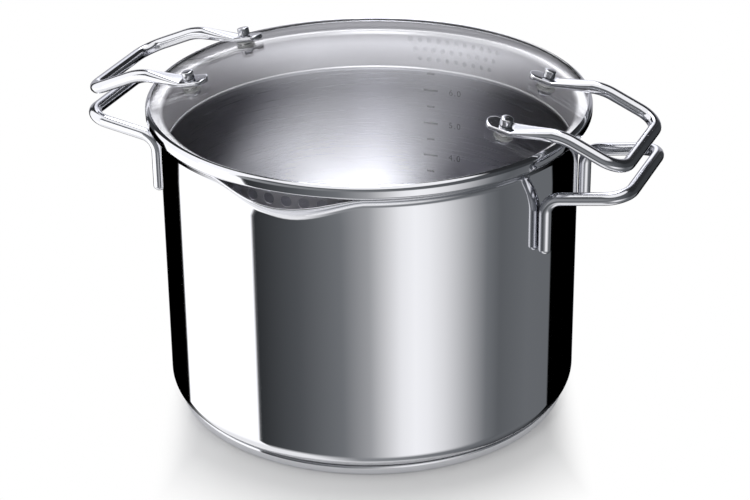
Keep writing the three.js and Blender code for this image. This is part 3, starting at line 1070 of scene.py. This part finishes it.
def buffed_steel():
    material, tree, shader = new_finish("handle_steel")
    set_inputs(shader, {"Base Color": STEEL, "Metallic": 1})
    smears = noise(tree, object_place(tree), BUFF_SCALE, BUFF_DETAIL)
    tree.links.new(ranged(tree, smears, 0.07, 0.13), shader.inputs["Roughness"])
    return material


def put_on(piece, *materials):
    """Fills the piece's material slots, in order, and adds slots where it has too few."""
    for i, material in enumerate(materials):
        if i < len(piece.data.materials):
            piece.data.materials[i] = material
        else:
            piece.data.materials.append(material)


handle_steel = buffed_steel()
put_on(pot, polished_steel, satin_steel)
put_on(base_cap, polished_steel)
put_on(lid_rim, polished_steel)
put_on(skirt, skirt_steel, hem_steel)
for face in skirt.data.polygons:
    if not skirt_low.z + hem_height < face.center.z < seat_start:
        face.material_index = 1
handles = [pot_handle_right, pot_handle_left, lid_handle_right, lid_handle_left]
for piece in handles + fasteners["handle_steel"]:
    put_on(piece, handle_steel)
print("steel on", sorted(m.name for m in bpy.data.materials if "steel" in m.name))

# %% [markdown]
# ## Glass, washers, marks and core
# The glass is a clear dielectric with no tint to speak of and the thinnest film of haze. Lamps can't
# shine through bent glass without much noise, so a Transparent shader takes over for shadow rays. The
# washers are milky silicone, the marks are dark etched steel, and the core under the floor is dull
# aluminium.

# %% Glass and small finishes
GLASS_COLOUR = (0.985, 0.985, 0.988, 1)
GLASS_SHADOW = (0.9, 0.92, 0.91, 1)
GLASS_IOR = 1.5
GLASS_HAZE = 0.012
HAZE_SCALE = 30
HAZE_DETAIL = 3
SPECKLE_DETAIL = 4
SPECKLE_DARK = 0.85


def clear_glass():
    material, tree, shader = new_finish("clear_glass")
    set_inputs(shader, {"Base Color": GLASS_COLOUR, "Transmission Weight": 1, "IOR": GLASS_IOR})
    haze = noise(tree, object_place(tree), HAZE_SCALE, HAZE_DETAIL)
    tree.links.new(ranged(tree, haze, 0.0, GLASS_HAZE), shader.inputs["Roughness"])
    path = add(tree, "ShaderNodeLightPath")
    through = add(tree, "ShaderNodeBsdfTransparent")
    set_inputs(through, {"Color": GLASS_SHADOW})
    shadow = path.outputs["Is Shadow Ray"]
    either = mixed_shaders(tree, shadow, shader.outputs[0], through.outputs[0])
    tree.links.new(either, tree.nodes["Material Output"].inputs["Surface"])
    return material


def speckled(name, colour, metallic, rough_low, rough_high, scale):
    """A plain material whose colour and roughness vary a little from place to place."""
    material, tree, shader = new_finish(name)
    set_inputs(shader, {"Metallic": metallic})
    value = noise(tree, object_place(tree), scale, SPECKLE_DETAIL)
    shades = add(tree, "ShaderNodeValToRGB")
    dark, light = shades.color_ramp.elements
    dark.position = NOISE_LOW
    light.position = NOISE_HIGH
    dark.color = (*[c * SPECKLE_DARK for c in colour], 1)
    light.color = (*colour, 1)
    tree.links.new(value, shades.inputs["Fac"])
    tree.links.new(shades.outputs["Color"], shader.inputs["Base Color"])
    tree.links.new(ranged(tree, value, rough_low, rough_high), shader.inputs["Roughness"])
    return material


put_on(lid_glass, clear_glass())
silicone = speckled("milky_silicone", (0.72, 0.73, 0.73), 0, 0.4, 0.6, 900)
for piece in fasteners["silicone"]:
    put_on(piece, silicone)
put_on(litre_marks, speckled("etched_marks", (0.045, 0.045, 0.05), 0.3, 0.5, 0.7, 1500))
put_on(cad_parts["base_core"], speckled("core_aluminium", (0.6, 0.6, 0.61), 1, 0.4, 0.55, 400))
print("finishes", sorted(m.name for m in bpy.data.materials))

# %% [markdown]
# ## Stage
# A mirror is only as good as what stands round it, so the rest of the lesson builds a studio. The camera
# comes first, because the panels are placed by degrees round from it. It looks down at the pot through a
# long lens and leans over by a fraction of a degree.

# %% Camera
CAMERA_AZIMUTH = 22.4
CAMERA_ELEVATION = 26.19
CAMERA_ROLL = -0.65
CAMERA_LENS = 109.08
camera_distance = 1350.9 * MM
camera_target = Vector((2.31, 0.95, 84.9)) * MM
azimuth = math.radians(CAMERA_AZIMUTH)
elevation = math.radians(CAMERA_ELEVATION)
roll = math.radians(CAMERA_ROLL)
level_back = Vector((math.sin(azimuth), -math.cos(azimuth), 0))
back = level_back * math.cos(elevation) + Vector((0, 0, math.sin(elevation)))
level_right = Vector((math.cos(azimuth), math.sin(azimuth), 0))
level_up = back.cross(level_right)
right = level_right * math.cos(roll) + level_up * math.sin(roll)
up = back.cross(right)
camera = bpy.data.objects.new("camera", bpy.data.cameras.new("camera"))
bpy.context.scene.collection.objects.link(camera)
camera.data.lens = CAMERA_LENS
camera.data.sensor_width = 36
camera.data.clip_end = 50
turn = Matrix((right, up, back)).transposed().to_4x4()
camera.matrix_world = Matrix.Translation(camera_target + back * camera_distance) @ turn
bpy.context.scene.camera = camera
print("camera at", [round(value, 3) for value in camera.matrix_world.translation])

# %% [markdown]
# A photographer of steel hangs black flags and white panels round it, and the metal shows them as
# stripes. Here they are painted on one large drum, in rows that blend into each other with height. Each
# row is a colour ramp of greys by degrees round from the camera. The dark ones are a little cool, as
# black cloth in daylight is. Above the rows hangs a white ceiling that leans down towards the camera.

# %% Rows of panels
FLOOR_PANELS = [
    (-180, 0.0), (-150, 0.0), (-145, 1.0), (-45, 1.0), (-10, 0.3), (60, 0.2), (120, 0.1), (180, 0.0),
]
LOWER_PANELS = [
    (-180, 0.45), (-172, 0.45), (-166, 0.0), (-128, 0.0), (-127, 1.32), (-67, 1.32), (-66, 0.035),
    (-40, 0.1), (-16, 0.2), (-1, 0.41), (8, 0.72), (16, 1.0), (24, 1.1), (31, 1.04), (40, 0.86),
    (57, 0.4), (66, 0.2), (75, 0.135), (96, 0.17), (117, 0.165), (118, 0.0), (166, 0.0), (172, 0.45),
    (180, 0.45),
]
EYE_PANELS = [
    (-180, 0.45), (-150, 0.45), (-145, 0.05), (-131, 0.05), (-130, 1.2), (-67, 1.2), (-66, 0.34), (30, 0.14),
    (70, 0.06), (145, 0.05), (150, 0.45), (180, 0.45),
]
HIGH_PANELS = [
    (-180, 0.03), (-131, 0.03), (-130, 1.2), (-67, 1.2), (-66, 0.1), (60, 0.1), (90, 0.03), (180, 0.03),
]
ROW_BLENDS = ((-24.0, -12.0), (-6.5, -4.2), (-2.2, -1.6), (1.5, 3.2))
BELOW_ROWS = (0.85, 0.85, 0.85, 1)
CEILING = (1.1, 1.1, 1.1, 1)
ceiling_height = 8.75
ceiling_blend = 2.2
ceiling_lean = 4.75
drum_radius = 6.0
drum_low = -34.0
drum_high = 60.0
camera_round = azimuth - math.pi / 2
BACK_DEGREES = 150
BACK_COOL = 0.05
DARK_COOL = 0.1
DARK_GREEN = 0.25


def fill_ramp(ramp, panels):
    """Fills a colour ramp from (degrees round from the camera, grey) pairs."""
    while len(ramp.elements) > 1:
        ramp.elements.remove(ramp.elements[-1])
    for i, (degrees, grey) in enumerate(panels):
        position = degrees / 360 + 0.5
        element = ramp.elements[0] if i == 0 else ramp.elements.new(position)
        element.position = position
        cool = DARK_COOL * max(0.0, 1 - 2 * grey)
        green = DARK_GREEN
        if abs(degrees) >= BACK_DEGREES:
            cool = BACK_COOL
            green = 1
        element.color = (grey * (1 - cool), grey * (1 - cool * green), grey * (1 + cool / 2), 1)


def painted_rows(tree, x, z, angle):
    share = mapped(tree, angle, -math.pi, math.pi)
    shown = BELOW_ROWS
    for panels, (low, high) in zip((FLOOR_PANELS, LOWER_PANELS, EYE_PANELS, HIGH_PANELS), ROW_BLENDS):
        ramp = add(tree, "ShaderNodeValToRGB")
        fill_ramp(ramp.color_ramp, panels)
        tree.links.new(share, ramp.inputs["Fac"])
        shown = mixed_colours(tree, mapped(tree, z, low, high), shown, ramp.outputs["Color"])
    leaning = maths(tree, "MULTIPLY_ADD", x, ceiling_lean / drum_radius, z)
    roof = mapped(tree, leaning, ceiling_height, ceiling_height + ceiling_blend)
    return mixed_colours(tree, roof, shown, CEILING)


print("rows of panels", len(ROW_BLENDS))

# %% [markdown]
# Behind the pot hangs a strip light, and the domed glass mirrors it as a soft hump low in the lid. It is
# narrow and faint at its lower end, and wide and bright at the top.

# %% Strip light
strip_turn_low = 3.5
strip_turn_high = 6.5
strip_low_aside = 0.1
strip_aside = -0.5
strip_low_half = 1.6
strip_half = 2.5
strip_core = 0.5
strip_rise_low = 1.0
strip_rise_high = 9.5
strip_end_low = 0.2
strip_end_high = 1.2
strip_faint = 0.11
strip_bright = 9.0
STRIP_TINT = (0.96, 0.97, 1.03)


def strip_light(tree, x, y, z):
    """How bright the strip is at a point of the drum, from 0 to 1."""
    middle = mapped(tree, z, strip_turn_low, strip_turn_high, strip_low_aside, strip_aside)
    half = mapped(tree, z, strip_turn_low, strip_turn_high, strip_low_half, strip_half)
    aside = maths(tree, "ABSOLUTE", maths(tree, "SUBTRACT", y, middle))
    across = mapped(tree, aside, half, strip_core, way="SMOOTHSTEP")
    rise = maths(tree, "POWER", mapped(tree, z, strip_rise_low, strip_rise_high), 2)
    end = mapped(tree, z, strip_end_low, strip_end_high, 0.0, strip_faint)
    lit = maths(tree, "MULTIPLY", across, maths(tree, "MAXIMUM", rise, end))
    return maths(tree, "MULTIPLY", lit, maths(tree, "LESS_THAN", x, 0.0))


print("strip light", 2 * strip_low_half, "to", 2 * strip_half, "m wide")

# %% [markdown]
# Light reaches the inner wall through the lid, so the wall would show the panels a second time, cut up by
# the dome. In a studio that light comes from above. So rays that have been through the glass see a plain
# pattern instead: two broad bright sides, ahead and behind, which fade towards the ground. Light Path
# counts the glass surfaces that a ray has passed. A ray that has only gone straight on through the glass
# still sees the panels, and one that leaves the inside past the lid instead of through it sees black.

# %% Light for the inside
inside_low = 1.05
inside_high = 3.6
inside_turn = math.radians(-8)
inside_narrow = 8
inside_full_height = 5.0
INSIDE_PASSES = 1.45
STRAIGHT_ON = -0.6
OUT_AGAIN_PASSES = 2.5


def inside_light(tree, z, angle):
    ahead = maths(tree, "COSINE", maths(tree, "SUBTRACT", angle, inside_turn))
    sides = maths(tree, "POWER", maths(tree, "ABSOLUTE", ahead), inside_narrow)
    level = mapped(tree, sides, 0.0, 1.0, inside_low, inside_high)
    return maths(tree, "MULTIPLY", level, mapped(tree, z, 0.0, inside_full_height))


def seen_from_inside(tree, light, panels):
    """Rays that come back out through the glass see the light, those that leave the inside past the lid
    see black, and all others see the panels."""
    path = add(tree, "ShaderNodeLightPath")
    passes = path.outputs["Transmission Depth"]
    out_again = maths(tree, "GREATER_THAN", passes, OUT_AGAIN_PASSES)
    counted = maths(tree, "MULTIPLY_ADD", path.outputs["Is Transmission Ray"], STRAIGHT_ON, passes)
    from_inside = maths(tree, "GREATER_THAN", counted, INSIDE_PASSES)
    return mixed_colours(tree, from_inside, panels, maths(tree, "MULTIPLY", light, out_again))


print("inside light", inside_low, "to", inside_high)

# %% [markdown]
# The drum is turned like the pot and painted with all of that. The camera, soft light and shadows pass it
# by, so that only mirrors and the glass show it.

# %% Drum that carries the panels
DRUM_STEPS = 64


def new_glow(name):
    """A material that only shines. It is never picked as a lamp, so only reflections find it."""
    material = bpy.data.materials.new(name)
    material.use_nodes = True
    tree = material.node_tree
    tree.nodes.clear()
    glow = add(tree, "ShaderNodeEmission")
    out = add(tree, "ShaderNodeOutputMaterial")
    tree.links.new(glow.outputs[0], out.inputs["Surface"])
    material.cycles.emission_sampling = "NONE"
    return material, tree, glow


def panel_paint():
    material, tree, glow = new_glow("panel_paint")
    face_camera = add(tree, "ShaderNodeVectorRotate", rotation_type="Z_AXIS")
    set_inputs(face_camera, {"Angle": -camera_round})
    tree.links.new(object_place(tree), face_camera.inputs["Vector"])
    x, y, z = split(tree, face_camera.outputs[0])
    angle = maths(tree, "ARCTAN2", y, x)
    rows = painted_rows(tree, x, z, angle)
    strip_colour = [strip_bright * c for c in STRIP_TINT]
    panels = vectors(tree, "MULTIPLY_ADD", strip_light(tree, x, y, z), strip_colour, rows)
    tree.links.new(seen_from_inside(tree, inside_light(tree, z, angle), panels), glow.inputs["Color"])
    return material


def show_to_reflections(piece):
    piece.visible_camera = False
    piece.visible_diffuse = False
    piece.visible_shadow = False


drum_outline = [(drum_radius, height) for height in (drum_low, 0.0, drum_high)]
drum = turn_outline("panel_drum", drum_outline, DRUM_STEPS)
put_on(drum, panel_paint())
show_to_reflections(drum)

# %% [markdown]
# The drum is far away, so it looks the same from every piece. The left handles show something nearer: a
# tall white card that stands to the left of the pot, turned half towards the camera.

# %% White card by the left handles
card_width = 130 * MM
card_height = 340 * MM
card_place = Vector((-262, -245, 110)) * MM
card_facing = math.radians(45)
CARD_BRIGHT = 1.32
deselect_all()
bpy.ops.mesh.primitive_plane_add(size=1)
card = bpy.context.object
card.name = "left_card"
card.scale = (card_width, card_height, 1)
card.location = card_place
card.rotation_euler = (math.radians(90), 0, camera_round + card_facing)
card_paint, _, card_glow = new_glow("card_paint")
set_inputs(card_glow, {"Strength": CARD_BRIGHT})
put_on(card, card_paint)
show_to_reflections(card)
print("card", card_width / MM, "by", card_height / MM, "mm")

# %% [markdown]
# The floor is white and keeps the shadow near the pot. Further out, and to each side of the pot, a white glow
# that only the camera sees is painted over it. This painted light fades the shadow out and cuts it off beside
# the pot, so that the floor has no edge. A mirror wall would show that floor all over its lower half. In a
# studio the pot stands on a small table and the wall looks past it at the panels below. So only what touches
# the floor shows it: reflections that travel further than about a centimetre pass through it to the drum.

# %% Floor
FLOOR_COLOUR = (0.9, 0.9, 0.9, 1)
FLOOR_ROUGHNESS = 0.6
FLOOR_SIZE = 30
floor_shown = 11.4 * MM
# Where the painted white glow over the floor begins and where it is full: round the pot, and to each side of
# it
fade_start = 134 * MM
fade_end = 187 * MM
side_fade_start = 100 * MM
side_fade_end = 124 * MM


def floor_paint():
    material, tree, shader = new_finish("floor_paint")
    set_inputs(shader, {"Base Color": FLOOR_COLOUR, "Roughness": FLOOR_ROUGHNESS})
    path = add(tree, "ShaderNodeLightPath").outputs
    place = object_place(tree)
    # Painted light: away from the pot and beside it, a white glow seen only by the camera is mixed over the
    # lit floor and paints out its shadow there
    away = mapped(tree, vectors(tree, "LENGTH", place), fade_start, fade_end)
    aside = maths(tree, "ABSOLUTE", vectors(tree, "DOT_PRODUCT", place, level_right))
    beside = mapped(tree, aside, side_fade_start, side_fade_end, way="SMOOTHSTEP")
    painted_light_share = maths(tree, "MULTIPLY", maths(tree, "MAXIMUM", away, beside), path["Is Camera Ray"])
    white = add(tree, "ShaderNodeEmission").outputs[0]
    shown = mixed_shaders(tree, painted_light_share, shader.outputs[0], white)
    far = maths(tree, "GREATER_THAN", path["Ray Length"], floor_shown)
    passed = maths(tree, "MULTIPLY", path["Is Glossy Ray"], far)
    through = add(tree, "ShaderNodeBsdfTransparent").outputs[0]
    either = mixed_shaders(tree, passed, shown, through)
    tree.links.new(either, tree.nodes["Material Output"].inputs["Surface"])
    return material


deselect_all()
bpy.ops.mesh.primitive_plane_add(size=FLOOR_SIZE)
floor = bpy.context.object
floor.name = "floor"
put_on(floor, floor_paint())
print("floor shows in reflections up to", floor_shown / MM, "mm long")

# %% [markdown]
# A white world gives the even light of a tent. It is a little weaker for soft light, and much weaker for
# rays that have passed through the glass, so that the inside keeps its depth. One soft lamp, high behind
# the pot, pulls a faint shadow forward.

# %% World and lamp
SKY_SOFT = 0.9
SKY_INSIDE = 0.15
LAMP_DISTANCE = 3
LAMP_HEIGHT = math.radians(70)
LAMP_SIZE = 1.6
LAMP_POWER = 30
world = bpy.data.worlds.new("studio")
bpy.context.scene.world = world
world.use_nodes = True
sky_tree = world.node_tree
sky = sky_tree.nodes["Background"]
set_inputs(sky, {"Color": (1, 1, 1, 1)})
sky_path = add(sky_tree, "ShaderNodeLightPath").outputs
sky_soft = mapped(sky_tree, sky_path["Is Diffuse Ray"], 0.0, 1.0, 1.0, SKY_SOFT)
sky_inside = mapped(sky_tree, sky_path["Transmission Depth"], 1, 2, 1.0, SKY_INSIDE)
sky_tree.links.new(maths(sky_tree, "MULTIPLY", sky_soft, sky_inside), sky.inputs["Strength"])

lamp_way = -level_back * math.cos(LAMP_HEIGHT) + Vector((0, 0, math.sin(LAMP_HEIGHT)))
deselect_all()
bpy.ops.object.light_add(type="AREA", location=lamp_way * LAMP_DISTANCE)
back_lamp = bpy.context.object
back_lamp.name = "back_lamp"
back_lamp.rotation_euler = lamp_way.to_track_quat("Z", "Y").to_euler()
back_lamp.data.size = LAMP_SIZE
back_lamp.data.energy = LAMP_POWER
back_lamp.visible_transmission = False
back_lamp.visible_glossy = False
bpy.context.scene.view_settings.view_transform = "Standard"
print("lamp at", [round(value, 2) for value in back_lamp.location])
